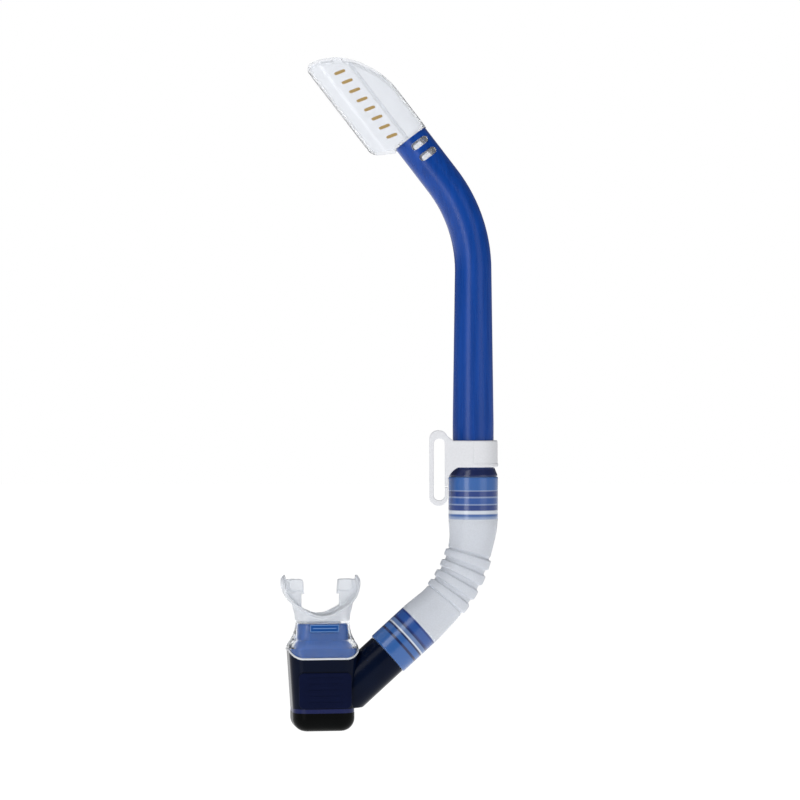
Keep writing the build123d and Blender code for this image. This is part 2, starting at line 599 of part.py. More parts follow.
# ---- saving -------------------------------------------------------------------------------------------
os.makedirs("parts", exist_ok=True)
upper_pieces = {"keeper": keeper, "barrel": barrel, "barrel_adapter": barrel_adapter,
                "splash_guard": splash_guard, "splash_guard_baffle": baffle}
lower_pieces = {"hose_upper_cuff": hose_upper_cuff, "hose_bellows": hose_bellows,
                "hose_lower_cuff": hose_lower_cuff, "pipe_adapter": pipe_adapter,
                "valve_body": valve_body, "front_panel": front_panel, "purge_seat": purge_seat,
                "purge_diaphragm": purge_diaphragm, "purge_cap": purge_cap, "mouthpiece_neck": neck,
                "mouthpiece": mouthpiece}
for label, piece in upper_pieces.items():
    piece.part.label = label
    export_step(piece.part, f"parts/{label}.step")
for label, piece in lower_pieces.items():
    turned = piece.part.rotate(BARREL_AXIS, REST_SWIVEL)
    turned.label = label
    export_step(turned, f"parts/{label}.step")
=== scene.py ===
from math import cos, pi, radians, sin, sqrt

import bmesh
import bpy
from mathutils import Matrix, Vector


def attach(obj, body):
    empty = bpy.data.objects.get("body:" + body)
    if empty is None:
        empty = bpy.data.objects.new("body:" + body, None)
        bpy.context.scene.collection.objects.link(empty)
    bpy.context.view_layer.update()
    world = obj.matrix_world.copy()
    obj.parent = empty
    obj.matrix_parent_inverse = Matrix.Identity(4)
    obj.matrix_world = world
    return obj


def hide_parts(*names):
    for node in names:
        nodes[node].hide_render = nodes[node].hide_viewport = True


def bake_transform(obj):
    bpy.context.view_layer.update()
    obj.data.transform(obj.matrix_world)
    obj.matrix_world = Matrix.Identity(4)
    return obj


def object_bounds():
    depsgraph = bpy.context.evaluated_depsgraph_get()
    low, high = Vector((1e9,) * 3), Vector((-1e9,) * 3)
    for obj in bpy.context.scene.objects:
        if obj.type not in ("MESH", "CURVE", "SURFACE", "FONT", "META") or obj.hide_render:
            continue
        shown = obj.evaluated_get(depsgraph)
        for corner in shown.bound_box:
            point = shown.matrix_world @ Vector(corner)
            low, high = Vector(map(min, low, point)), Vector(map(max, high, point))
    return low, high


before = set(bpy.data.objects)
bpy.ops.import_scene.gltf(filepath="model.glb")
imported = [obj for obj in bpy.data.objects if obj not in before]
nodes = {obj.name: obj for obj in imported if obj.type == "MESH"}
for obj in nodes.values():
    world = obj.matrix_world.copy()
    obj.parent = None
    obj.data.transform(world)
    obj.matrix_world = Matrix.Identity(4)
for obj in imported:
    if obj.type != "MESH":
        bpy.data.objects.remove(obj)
cad_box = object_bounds()

scene = bpy.context.scene
scene.view_settings.view_transform = "Standard"
MM = 0.001

# ---- the object's own directions and stations, in mm, as in the CAD -----------------------------------
BARREL_X, BARREL_Y = 22.2, 13.8
SWIVEL = radians(8.5)  # the lower assembly is turned about the barrel's axis
BEND_RADIUS = 78.0
BEND_ANGLES = (14.5, 26.5, 7.0)  # smooth upper stretch, bellows, smooth lower stretch
BEND_TURN = radians(sum(BEND_ANGLES))
ADAPTER_TOP_Z, CUFF_TOP_Z = 1.3, -4.9
STRAIGHT, TAIL = 29.1, 41.5
ARC = BEND_RADIUS * BEND_TURN
BODY_X = BARREL_X - 98.8
BITE_X = -1.3  # middle of the bite, from the body's middle
SADDLE_Z, SADDLE_HALF_FLAT, SADDLE_RADIUS = -121.7, 14.0, 9.5


def turned(point):
    """A point of the lower assembly, drawn in the bend plane in mm, as it is stored, in metres."""
    x, y, z = point[0] - BARREL_X, point[1], point[2]
    return Vector(((BARREL_X + x * cos(SWIVEL) - y * sin(SWIVEL)) * MM,
                   (BARREL_Y + x * sin(SWIVEL) + y * cos(SWIVEL)) * MM, z * MM))


def body_point(x, y, z):
    """A point given from the body's middle, in mm, as it is stored."""
    return turned((BODY_X + x, y, z))


def hose_frame(s):
    """Point of the hose's centreline at s mm from its top, in the bend plane, and its turn from upright."""
    if s <= STRAIGHT:
        return Vector((BARREL_X, 0, CUFF_TOP_Z - s)), 0.0
    turn = min((s - STRAIGHT) / BEND_RADIUS, BEND_TURN)
    run = max(0.0, s - STRAIGHT - ARC)
    return Vector((BARREL_X - BEND_RADIUS * (1 - cos(turn)) - run * sin(turn), 0,
                   CUFF_TOP_Z - STRAIGHT - BEND_RADIUS * sin(turn) - run * cos(turn))), turn


# ---- materials ----------------------------------------------------------------------------------------
def material(name, colour, rough, transmission=0.0, ior=1.5, coat=0.0, specular=0.5, bump=0.0,
             bump_scale=400.0, rough_vary=0.08, rough_scale=60.0, vary=0.0):
    """A principled material with noise in its roughness, a fine bump and a slight colour variation."""
    m = bpy.data.materials.new(name)
    m.use_nodes = True
    nt = m.node_tree
    shader = nt.nodes["Principled BSDF"]
    shader.inputs["Base Color"].default_value = (*colour, 1)
    shader.inputs["Roughness"].default_value = rough
    shader.inputs["Transmission Weight"].default_value = transmission
    shader.inputs["IOR"].default_value = ior
    shader.inputs["Coat Weight"].default_value = coat
    shader.inputs["Coat Roughness"].default_value = 0.08
    shader.inputs["Specular IOR Level"].default_value = specular
    place = nt.nodes.new("ShaderNodeTexCoord")
    mottle = nt.nodes.new("ShaderNodeTexNoise")
    mottle.inputs["Scale"].default_value = rough_scale
    mottle.inputs["Detail"].default_value = 6
    nt.links.new(place.outputs["Object"], mottle.inputs["Vector"])
    span = nt.nodes.new("ShaderNodeMapRange")
    span.inputs["To Min"].default_value = max(0.0, rough - rough_vary)
    span.inputs["To Max"].default_value = rough + rough_vary
    nt.links.new(mottle.outputs["Fac"], span.inputs["Value"])
    nt.links.new(span.outputs["Result"], shader.inputs["Roughness"])
    if vary:
        ramp = nt.nodes.new("ShaderNodeValToRGB")
        ramp.color_ramp.elements[0].position = 0.3
        ramp.color_ramp.elements[1].position = 0.7
        ramp.color_ramp.elements[0].color = (*[c * (1 - vary) for c in colour], 1)
        ramp.color_ramp.elements[1].color = (*[min(1, c * (1 + vary)) for c in colour], 1)
        nt.links.new(mottle.outputs["Fac"], ramp.inputs["Fac"])
        nt.links.new(ramp.outputs["Color"], shader.inputs["Base Color"])
    if bump:
        fine = nt.nodes.new("ShaderNodeTexNoise")
        fine.inputs["Scale"].default_value = bump_scale
        fine.inputs["Detail"].default_value = 4
        nt.links.new(place.outputs["Object"], fine.inputs["Vector"])
        relief = nt.nodes.new("ShaderNodeBump")
        relief.inputs["Strength"].default_value = bump
        relief.inputs["Distance"].default_value = 0.0002
        nt.links.new(fine.outputs["Fac"], relief.inputs["Height"])
        nt.links.new(relief.outputs["Normal"], shader.inputs["Normal"])
    return m


def streaked(m, along):
    """Stretches a material's mottling along z, as moulding streaks run along the barrel."""
    nt = m.node_tree
    stretch = nt.nodes.new("ShaderNodeMapping")
    stretch.inputs["Scale"].default_value = (1.0, 1.0, along)
    for link in list(nt.links):
        if link.from_socket.name == "Object" and link.to_node.name == "Noise Texture":
            nt.links.new(link.from_socket, stretch.inputs["Vector"])
            nt.links.new(stretch.outputs["Vector"], link.to_socket)
            break
    return m


def ramp_rings(m, value, reach, stops, length):
    """Colours a material by a value that runs from 0 to reach; stops are (distance in mm, colour)."""
    nt = m.node_tree
    span = nt.nodes.new("ShaderNodeMapRange")
    span.inputs["From Min"].default_value = 0.0
    span.inputs["From Max"].default_value = reach
    nt.links.new(value, span.inputs["Value"])
    ramp = nt.nodes.new("ShaderNodeValToRGB")
    while len(ramp.color_ramp.elements) < len(stops):
        ramp.color_ramp.elements.new(0.5)
    for element, (distance, colour) in zip(ramp.color_ramp.elements, stops):
        element.position = distance / length
        element.color = (*colour, 1)
    nt.links.new(span.outputs["Result"], ramp.inputs["Fac"])
    nt.links.new(ramp.outputs["Color"], nt.nodes["Principled BSDF"].inputs["Base Color"])
    return m


def band_by_run(m, stops, length):
    """Rings by the hose's own run, stored on its vertices, so that they follow its bend."""
    run = m.node_tree.nodes.new("ShaderNodeAttribute")
    run.attribute_name = "run"
    return ramp_rings(m, run.outputs["Fac"], length, stops, length)


def band(m, start, along, stops, length):
    """Rings along an axis of a rigid piece."""
    nt = m.node_tree
    place = nt.nodes.new("ShaderNodeTexCoord")
    shift = nt.nodes.new("ShaderNodeVectorMath")
    shift.operation = "SUBTRACT"
    shift.inputs[1].default_value = start
    nt.links.new(place.outputs["Object"], shift.inputs[0])
    dot = nt.nodes.new("ShaderNodeVectorMath")
    dot.operation = "DOT_PRODUCT"
    dot.inputs[1].default_value = along
    nt.links.new(shift.outputs["Vector"], dot.inputs[0])
    return ramp_rings(m, dot.outputs["Value"], length * MM, stops, length)


# rings of the two spigots as they show through the cuffs, by distance in mm; the pale and hazy lines are
# painted reflections off the spigots' rings under the silicone
MID = (0.030, 0.125, 0.40)
PALE_REFLECTION = (0.30, 0.38, 0.58)
DARK = (0.010, 0.042, 0.22)
DEEP = (0.018, 0.085, 0.34)
INK = (0.008, 0.018, 0.090)
HAZE_REFLECTION = (0.12, 0.21, 0.44)
MILK = (0.66, 0.71, 0.80)
UPPER_STOPS = [(0.0, INK), (5.6, INK), (6.2, HAZE_REFLECTION), (6.8, MID), (14.6, MID), (15.1, PALE_REFLECTION), (15.7, DARK),
               (18.6, DARK), (19.4, PALE_REFLECTION), (20.1, DEEP), (23.4, DEEP), (24.1, PALE_REFLECTION), (24.7, DARK),
               (27.7, DARK), (28.2, MILK), (30.0, MILK), (30.4, HAZE_REFLECTION), (31.2, DEEP), (31.8, HAZE_REFLECTION),
               (33.0, PALE_REFLECTION)]
LOWER_STOPS = [(0.0, PALE_REFLECTION), (0.5, MID), (9.4, MID), (9.9, INK), (11.0, INK), (11.5, MID), (14.6, MID),
               (15.1, INK), (15.9, INK), (16.2, MILK), (16.9, MILK), (17.3, HAZE_REFLECTION), (19.4, HAZE_REFLECTION), (19.8, INK),
               (21.2, DARK), (21.9, DEEP), (26.0, DEEP), (26.5, DARK), (27.4, DARK), (27.8, MILK)]
UPPER_BAND, LOWER_BAND = 34.0, 30.0  # length of each pattern
CUFF_FINISH = {"coat": 0.3, "bump": 0.06, "bump_scale": 300}

hose_foot, hose_turn = hose_frame(STRAIGHT + ARC + TAIL)
pipe_foot = turned(hose_foot)
pipe_up = (turned((BARREL_X + sin(hose_turn), 0, cos(hose_turn))) - turned((BARREL_X, 0, 0))).normalized()

GUARD = material("clear_polycarbonate", (0.945, 0.96, 0.988), 0.12, transmission=0.88, ior=1.33,
                 rough_vary=0.03, bump=0.05, bump_scale=150)
BARREL = streaked(material("blue_barrel", (0.001, 0.060, 0.36), 0.28, transmission=0.15, ior=1.45,
                           specular=0.32, bump=0.02, vary=0.16, rough_scale=260), 0.06)
# white of the bead along the sleeve's foot: a painted highlight on the sleeve's clear rim
RIM_HIGHLIGHT = material("painted_rim_highlight", (0.86, 0.89, 0.93), 0.3, transmission=0.1, bump=0.05)
FLANGE_FROSTED = material("frosted_mouthpiece", (0.92, 0.945, 0.985), 0.42, transmission=0.5, ior=1.41,
                          bump=0.12, bump_scale=600, vary=0.02)
SLEEVE_CLEAR = material("clear_silicone", (0.95, 0.97, 0.99), 0.12, transmission=0.97, ior=1.25,
                        bump=0.08, bump_scale=300)
KEEPER = material("white_keeper", (0.80, 0.81, 0.845), 0.40, bump=0.2, bump_scale=900, rough_scale=1000,
                  vary=0.03)
HOSE = material("frosted_silicone", (0.83, 0.865, 0.93), 0.42, transmission=0.3, ior=1.41, bump=0.25,
                bump_scale=900, rough_scale=1100, vary=0.045)
BODY = material("navy_body", (0.0016, 0.0046, 0.0175), 0.2, specular=0.07, bump=0.04, vary=0.15)
PANEL = material("navy_panel", (0.003, 0.006, 0.030), 0.34, specular=0.05, bump=0.15, bump_scale=900,
                 vary=0.15)
SEAT = material("blue_seat", (0.007, 0.013, 0.085), 0.3, specular=0.2, bump=0.04, vary=0.1)
NECK = material("blue_neck", (0.002, 0.078, 0.33), 0.34, specular=0.2, bump=0.05, vary=0.08)
LATCH = material("latch_blue", (0.12, 0.26, 0.58), 0.25, bump=0.04, vary=0.05)
CAP = material("black_cap", (0.0015, 0.002, 0.002), 0.28, specular=0.05, bump=0.06, vary=0.2)
DISC = material("valve_silicone", (0.75, 0.77, 0.80), 0.35, transmission=0.4, bump=0.08)
GOLD = material("gold_print", (0.42, 0.28, 0.10), 0.35, bump=0.05)
UPPER_ADAPTER = band(material("upper_adapter_blue", MID, 0.2, bump=0.03),
                     (BARREL_X * MM, BARREL_Y * MM, ADAPTER_TOP_Z * MM), (0, 0, -1), UPPER_STOPS, UPPER_BAND)
UPPER_CUFF = band_by_run(material("upper_cuff_silicone", MID, 0.24, **CUFF_FINISH), UPPER_STOPS, UPPER_BAND)
LOWER_CUFF = band_by_run(material("lower_cuff_silicone", MID, 0.24, **CUFF_FINISH), LOWER_STOPS, LOWER_BAND)
LOWER_ADAPTER = band(material("lower_adapter_blue", MID, 0.2, bump=0.03), pipe_foot, pipe_up, LOWER_STOPS,
                     LOWER_BAND)

NODE_MATERIALS = {
    "keeper": KEEPER,
    "barrel": BARREL,
    "barrel_adapter": UPPER_ADAPTER,
    "splash_guard": GUARD,
    "splash_guard_baffle": GUARD,
    "hose_upper_cuff": HOSE,
    "hose_bellows": HOSE,
    "hose_lower_cuff": HOSE,
    "pipe_adapter": LOWER_ADAPTER,
    "valve_body": BODY,
    "front_panel": PANEL,
    "purge_seat": SEAT,
    "purge_diaphragm": DISC,
    "purge_cap": CAP,
    "mouthpiece_neck": NECK,
    "mouthpiece": SLEEVE_CLEAR,
}
for node, finish in NODE_MATERIALS.items():
    nodes[node].data.materials.clear()
    nodes[node].data.materials.append(finish)


# ---- mesh helpers -------------------------------------------------------------------------------------
def shade(ob, smooth):
    ob.data.polygons.foreach_set("use_smooth", [smooth] * len(ob.data.polygons))


def build(name, verts, faces, mat):
    """A smooth mesh object from points in metres."""
    me = bpy.data.meshes.new(name)
    me.from_pydata([tuple(v) for v in verts], [], faces)
    me.validate()
    bm = bmesh.new()
    bm.from_mesh(me)
    bmesh.ops.recalc_face_normals(bm, faces=bm.faces)
    bm.to_mesh(me)
    bm.free()
    ob = bpy.data.objects.new(name, me)
    scene.collection.objects.link(ob)
    me.materials.append(mat)
    shade(ob, True)
    return ob


def joined(name, parts, mat):
    """One object from several (points, faces) pairs."""
    verts, faces = [], []
    for part_verts, part_faces in parts:
        base = len(verts)
        verts += part_verts
        faces += [tuple(base + i for i in face) for face in part_faces]
    return build(name, verts, faces, mat)


def skin_rings(rings, loop=False):
    """Quads over a list of equal rings of points; loop joins the last ring to the first."""
    count = len(rings[0])
    verts = [p for ring in rings for p in ring]
    faces = []
    for i in range(len(rings) - (0 if loop else 1)):
        j = (i + 1) % len(rings)
        for k in range(count):
            n = (k + 1) % count
            faces.append((i * count + k, i * count + n, j * count + n, j * count + k))
    return verts, faces


def solid_rings(rings):
    """Quads over the rings with both ends closed."""
    verts, faces = skin_rings(rings)
    count = len(rings[0])
    faces.append(tuple(range(count)))
    faces.append(tuple(range(len(verts) - count, len(verts))))
    return verts, faces


def prism(points, low, high):
    """A solid between y = low and high over an outline in x and z, from the body's middle."""
    return solid_rings([[body_point(x, y, z) for x, z in points] for y in (low, high)])


def rounded_outline(width, depth, corner, count=24):
    """A rounded rectangle about the middle, corner by corner."""
    points = []
    for sx, sy, start in ((1, 1, 0), (-1, 1, 90), (-1, -1, 180), (1, -1, 270)):
        for k in range(count + 1):
            a = radians(start + 90 * k / count)
            points.append((sx * (width / 2 - corner) + corner * cos(a),
                           sy * (depth / 2 - corner) + corner * sin(a)))
    return points


def rounded_stack(levels, shift=0.0):
    """A solid through rounded rectangles given as height, width, depth and corner."""
    return solid_rings([[body_point(shift + x, y, z) for x, y in rounded_outline(w, d, c)]
                        for z, w, d, c in levels])


def smooth_line(points, count):
    """Points at even steps along a Catmull-Rom curve."""
    dense = []
    ends = [points[0], *points, points[-1]]
    for i in range(1, len(ends) - 2):
        p0, p1, p2, p3 = (Vector(p) for p in ends[i - 1:i + 3])
        for k in range(16):
            t = k / 16
            dense.append(0.5 * (2 * p1 + (p2 - p0) * t + (2 * p0 - 5 * p1 + 4 * p2 - p3) * t ** 2
                                + (3 * p1 - p0 - 3 * p2 + p3) * t ** 3))
    dense.append(Vector(points[-1]))
    run = [0.0]
    for a, b in zip(dense, dense[1:]):
        run.append(run[-1] + (b - a).length)
    result, j = [], 0
    for i in range(count):
        want = run[-1] * i / (count - 1)
        while j < len(run) - 2 and run[j + 1] < want:
            j += 1
        share = (want - run[j]) / max(1e-9, run[j + 1] - run[j])
        result.append(dense[j].lerp(dense[j + 1], min(1.0, share)))
    return result


def smooth_step(x):
    x = min(1.0, max(0.0, x))
    return x * x * (3 - 2 * x)


def squared(value, power):
    """A sine or cosine pushed towards its ends, which squares off an oval."""
    return abs(value) ** power * (1 if value > 0 else -1)


def apply_modifiers(ob):
    bpy.context.view_layer.update()
    made = bpy.data.meshes.new_from_object(ob.evaluated_get(bpy.context.evaluated_depsgraph_get()))
    ob.modifiers.clear()
    ob.data = made


def carve(ob, name, solid, operation="DIFFERENCE"):
    """Cuts an object by a solid, or keeps what lies inside it with INTERSECT."""
    cutter = build(name, *solid, FLANGE_FROSTED)
    m = ob.modifiers.new("carve", "BOOLEAN")
    m.operation = operation
    m.object = cutter
    m.solver = "EXACT"
    apply_modifiers(ob)
    bpy.data.objects.remove(cutter)


# ---- hose: one silicone moulding, cuff to cuff --------------------------------------------------------
HOSE_SIDES, HOSE_STEPS = 96, 420
FOLDS_START = STRAIGHT + BEND_RADIUS * radians(BEND_ANGLES[0])
FOLDS_END = FOLDS_START + BEND_RADIUS * radians(BEND_ANGLES[1])
HOSE_FOOT = STRAIGHT + ARC + TAIL
HOSE_END = HOSE_FOOT - 0.3
CUFF_RADIUS, TUBE_RADIUS, VALLEY_RADIUS = 16.1, 14.2, 13.5
FOLDS = 4
FOLD_RISE, FOLD_CROWN = 1.9, 0.5
FOLD_EASE = 0.8  # run over which the bellows blend into the smooth hose
LOWER_FLARE, LOWER_FLARE_RUN = 1.2, 24.0
RIM_RADIUS = 0.7
HOSE_BORE, BELLOWS_WALL = 11.7, 1.7
UPPER_FIT, LOWER_FIT = 13.78, 13.28  # bore of each cuff, over its spigot
FIT_DEPTH = 27.1
FIT_RINGS = (10.2, 14.2, 18.0)  # the spigots' ribs press into the cuffs here
LOCK_START, LOCK_END, LOCK_RISE = 22.0, 23.8, 0.62  # inward lip that snaps into the spigot's groove
UPPER_CUFF_END, LOWER_CUFF_START = 27.2, HOSE_END - 28.4  # the spigots' rings show as far as here


def outer_radius(s):
    if s < FOLDS_START:
        share = (s - STRAIGHT + 4) / (FOLDS_START - STRAIGHT + 4)
        r = CUFF_RADIUS + (TUBE_RADIUS - CUFF_RADIUS) * smooth_step(share)
    elif s < FOLDS_END:
        phase = (s - FOLDS_START) / (FOLDS_END - FOLDS_START) * FOLDS % 1.0
        rise = smooth_step((phase - 0.16) / 0.13) * smooth_step((0.92 - phase) / 0.13)
        r = VALLEY_RADIUS + rise * (FOLD_RISE - FOLD_CROWN * abs(phase - 0.54))
        ease = min(1.0, (s - FOLDS_START) / FOLD_EASE, (FOLDS_END - s) / FOLD_EASE)
        r = r * ease + TUBE_RADIUS * (1 - ease)
    else:
        r = TUBE_RADIUS + LOWER_FLARE * smooth_step((s - FOLDS_END) / LOWER_FLARE_RUN)
    for end in (s, HOSE_END - s):  # rounded rims
        if end < RIM_RADIUS:
            r -= RIM_RADIUS - sqrt(max(0.0, RIM_RADIUS ** 2 - (RIM_RADIUS - end) ** 2))
    return r


def inner_radius(s):
    bore = HOSE_BORE
    for depth, fit in ((s - 0.3, UPPER_FIT), (HOSE_END - s, LOWER_FIT)):
        if depth < FIT_DEPTH:
            bore = fit
            for station in FIT_RINGS:
                bore = max(bore, fit + 0.5 - max(0.0, abs(depth - station) - 0.3))
            if LOCK_START < depth < LOCK_END:
                bore = fit - LOCK_RISE
    if FOLDS_START < s < FOLDS_END:
        bore = outer_radius(s) - BELLOWS_WALL
    return bore


def hose_ring(s, radius):
    centre, turn = hose_frame(s)
    side = Vector((cos(turn), 0, -sin(turn)))
    angles = [2 * pi * k / HOSE_SIDES for k in range(HOSE_SIDES)]
    return [turned(centre + radius * (cos(a) * side + Vector((0, sin(a), 0)))) for a in angles]


def make_hose():
    stations = [HOSE_END * i / HOSE_STEPS for i in range(HOSE_STEPS + 1)]
    rings = [hose_ring(s, outer_radius(s)) for s in stations]
    rings += [hose_ring(s, inner_radius(s)) for s in reversed(stations)]
    stations += stations[::-1]
    hose = build("hose", *skin_rings(rings, loop=True), HOSE)
    hose.data.materials.append(UPPER_CUFF)
    hose.data.materials.append(LOWER_CUFF)
    run = hose.data.attributes.new("run", "FLOAT", "POINT")  # distance along each cuff's ring pattern
    for i in range(len(hose.data.vertices)):
        s = stations[i // HOSE_SIDES]
        run.data[i].value = s + ADAPTER_TOP_Z - CUFF_TOP_Z if s < HOSE_END / 2 else HOSE_FOOT - s
    for face in hose.data.polygons:
        s = stations[min(v // HOSE_SIDES for v in face.vertices)]
        face.material_index = 1 if s < UPPER_CUFF_END else 2 if s > LOWER_CUFF_START else 0
    return hose


hose = make_hose()
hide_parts("hose_upper_cuff", "hose_bellows", "hose_lower_cuff")
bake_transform(hose)

# ---- mouthpiece: flange, bite tabs and sleeve in one soft moulding ------------------------------------
# outlines hold x from the bite's middle and z; the sleeve's and the cutters' x is from the body's middle
FLANGE = [(0.0, -95.2), (4.0, -94.7), (8.5, -92.9), (13.8, -90.0), (18.7, -86.4), (22.3, -82.0),
          (24.6, -76.6), (25.3, -72.4), (24.9, -69.7), (23.5, -67.6)]
FLANGE_HALF_HEIGHT, FLANGE_THICKNESS = 15.5, 2.3
TAB = [(9.6, -91.5), (10.0, -87.5), (10.3, -84.0), (11.2, -72.2), (11.8, -70.8), (19.0, -70.4),
       (22.2, -70.8), (23.7, -74.4), (23.3, -78.2), (21.0, -82.6), (17.8, -86.3), (13.0, -89.6)]
TAB_HALF = 2.4
LUG = [(11.3, -77.0), (11.5, -71.4), (12.1, -70.7), (18.6, -70.5), (20.2, -71.4), (20.6, -76.6),
       (19.2, -77.8), (12.4, -78.0)]
LUG_HALF = 4.3
# height, width, depth and corner, from the flange down to the body
SLEEVE = [(-84.0, 40.0, 23.0, 9.0), (-90.0, 37.4, 22.6, 9.0), (-94.0, 35.4, 22.4, 9.0),
          (-97.5, 35.0, 23.2, 9.2), (-100.0, 35.0, 23.7, 9.4), (-103.0, 35.8, 24.4, 9.5),
          (-105.6, 37.0, 25.7, 9.6), (-108.0, 38.8, 27.5, 9.7), (-110.4, 41.4, 29.9, 9.8),
          (-112.4, 43.8, 32.0, 9.9), (-114.0, 45.2, 33.0, 10.0), (-118.0, 45.3, 33.0, 10.0),
          (-125.0, 45.3, 33.0, 10.0)]
NECK_ROOM = [(-126.0, 42.9, 30.5, 8.6), (-114.7, 42.9, 30.5, 8.6), (-109.9, 34.1, 22.9, 8.5),
             (-98.7, 32.7, 21.3, 8.5)]
AIRWAY = [(-110.0, 25.0, 13.5, 5.0), (-80.0, 25.0, 13.5, 5.0)]
LATCH_WINDOW = [(-9.6, -104.3), (9.6, -104.3), (9.6, -98.9), (-9.6, -98.9)]
VOXEL = 0.00055
FROSTED_ABOVE = -0.0970
CUT = 30.0  # half depth and half width of the cutters, clear of the mouthpiece
CUT_TOP_Z = -60.0


def saddle_z(x):
    """Height of the saddle's surface at a distance from the body's middle."""
    over = min(max(0.0, abs(x) - SADDLE_HALF_FLAT), SADDLE_RADIUS)
    return SADDLE_Z + SADDLE_RADIUS - sqrt(SADDLE_RADIUS ** 2 - over ** 2)


def mirrored_line(count):
    """The flange's line from its left tip to its right one."""
    half = smooth_line(FLANGE, count)
    return [Vector((-p[0], p[1])) for p in reversed(half[1:])] + half


def flange_solid():
    line = mirrored_line(40)
    last = len(line) - 1
    rings = []
    for i, p in enumerate(line):
        ahead = line[min(last, i + 1)] - line[max(0, i - 1)]
        inward = Vector((-ahead[1], ahead[0])).normalized()
        t = abs(2 * i / last - 1)  # 0 in the middle, 1 at the tips
        reach = FLANGE_HALF_HEIGHT * max(0.02, 1 - t ** 3.4) ** 0.5
        thick = FLANGE_THICKNESS * (1.0 - 0.25 * t) * (0.5 if i in (0, last) else 1.0)
        ring = []
        for k in range(48):
            a = 2 * pi * k / 48
            q = p + inward * (thick / 2 * squared(sin(a), 0.35) + thick / 2)
            ring.append(body_point(BITE_X + q[0], reach * cos(a), q[1]))
        rings.append(ring)
    return solid_rings(rings)


def bite_solid(outline, side, half):
    """A bite tab or its lug on one side of the bite."""
    return prism([(BITE_X + side * x, z) for x, z in outline], -half, half)


def sleeve_solid():
    """The sleeve, cut off a little above the flange's line."""
    sleeve = build("sleeve_form", *rounded_stack(SLEEVE), FLANGE_FROSTED)
    edge = [(BITE_X + p[0], p[1] + 1.0) for p in mirrored_line(30)]
    above = [(-40.0, -68.0), (-40.0, CUT_TOP_Z), (40.0, CUT_TOP_Z), (40.0, -68.0)] + edge[::-1]
    carve(sleeve, "cut_above", prism(above, -CUT, CUT))
    solid = ([v.co.copy() for v in sleeve.data.vertices], [tuple(p.vertices) for p in sleeve.data.polygons])
    bpy.data.objects.remove(sleeve)
    return solid


def make_mouthpiece():
    parts = [flange_solid()]
    parts += [bite_solid(TAB, side, TAB_HALF) for side in (-1, 1)]
    parts += [bite_solid(LUG, side, LUG_HALF) for side in (-1, 1)]
    parts.append(sleeve_solid())
    skin = joined("mouthpiece_skin", parts, FLANGE_FROSTED)
    remesh = skin.modifiers.new("remesh", "REMESH")
    remesh.mode = "VOXEL"
    remesh.voxel_size = VOXEL
    relax = skin.modifiers.new("relax", "SMOOTH")
    relax.factor = 0.5
    relax.iterations = 7
    apply_modifiers(skin)
    saddle = [(-CUT, CUT_TOP_Z), (-CUT, saddle_z(-24.0))]
    saddle += [(x / 2, saddle_z(x / 2)) for x in range(-47, 48)]
    saddle += [(CUT, saddle_z(24.0)), (CUT, CUT_TOP_Z)]
    carve(skin, "cut_saddle", prism(saddle, -CUT, CUT), "INTERSECT")
    carve(skin, "cut_neck", rounded_stack(NECK_ROOM))
    carve(skin, "cut_airway", rounded_stack(AIRWAY, BITE_X))
    carve(skin, "cut_latch", prism(LATCH_WINDOW, -CUT, CUT))
    skin.data.materials.clear()
    skin.data.materials.append(FLANGE_FROSTED)
    skin.data.materials.append(SLEEVE_CLEAR)
    shade(skin, True)
    for face in skin.data.polygons:
        face.material_index = 0 if face.center.z >= FROSTED_ABOVE else 1
    skin.data.set_sharp_from_angle(angle=radians(38))
    return skin


mouthpiece = make_mouthpiece()
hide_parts("mouthpiece")
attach(mouthpiece, "mouth_unit")


# ---- bead along the sleeve's foot, where it meets the body, painted white as the highlight on the sleeve's rim ---
def bead_rings(radius=0.62, lift=0.75):
    edge = [Vector((x, y, saddle_z(x) + lift)) for x, y in rounded_outline(45.0, 32.7, 9.9, 16)]
    rings = []
    for k, here in enumerate(edge):
        before, after = edge[k - 1], edge[(k + 1) % len(edge)]
        if (after - before).length < 1e-6:
            continue
        along = (after - before).normalized()
        out = Vector((along[1], -along[0], 0)).normalized()
        up = out.cross(along).normalized()
        angles = [2 * pi * j / 12 for j in range(12)]
        rings.append([body_point(*(here + radius * (cos(a) * out + sin(a) * up))) for a in angles])
    return rings


bead = build("mouthpiece_bead", *skin_rings(bead_rings(), loop=True), RIM_HIGHLIGHT)
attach(bead, "mouth_unit")


# ---- fine ribs on the front panel ---------------------------------------------------------------------
def panel_rib(z, half_length=10.5, radius=0.45):
    outline = []
    for k in range(20):
        a = 2 * pi * k / 20
        outline.append((radius * cos(a) + (half_length if cos(a) > 0 else -half_length), z + radius * sin(a)))
    return prism(outline, -17.42, -17.0)


panel_ribs = joined("panel_ribs", [panel_rib(-133.6 - 3.9 * i) for i in range(5)], PANEL)
shade(panel_ribs, False)
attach(panel_ribs, "mouth_unit")

# ---- raised frame and bar on the latches, front and back ----------------------------------------------
# left, top, right and foot of each bar
LATCH_BARS = ((-9.3, -99.3, 9.3, -99.9), (-9.3, -103.5, 9.3, -104.1), (-9.3, -99.9, -8.7, -103.5),
              (8.7, -99.9, 9.3, -103.5), (-7.6, -101.3, 7.6, -102.0))
LATCH_FACES = ((-12.45, -12.0), (12.0, 12.45))
latch_bars = []
for low, high in LATCH_FACES:
    for x0, z0, x1, z1 in LATCH_BARS:
        latch_bars.append(prism([(x0, z0), (x1, z0), (x1, z1), (x0, z1)], low, high))
latch_frames = joined("latch_frames", latch_bars, LATCH)
bevel = latch_frames.modifiers.new("edge", "BEVEL")
bevel.width = 0.00012
bevel.segments = 2
apply_modifiers(latch_frames)
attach(latch_frames, "mouth_unit")

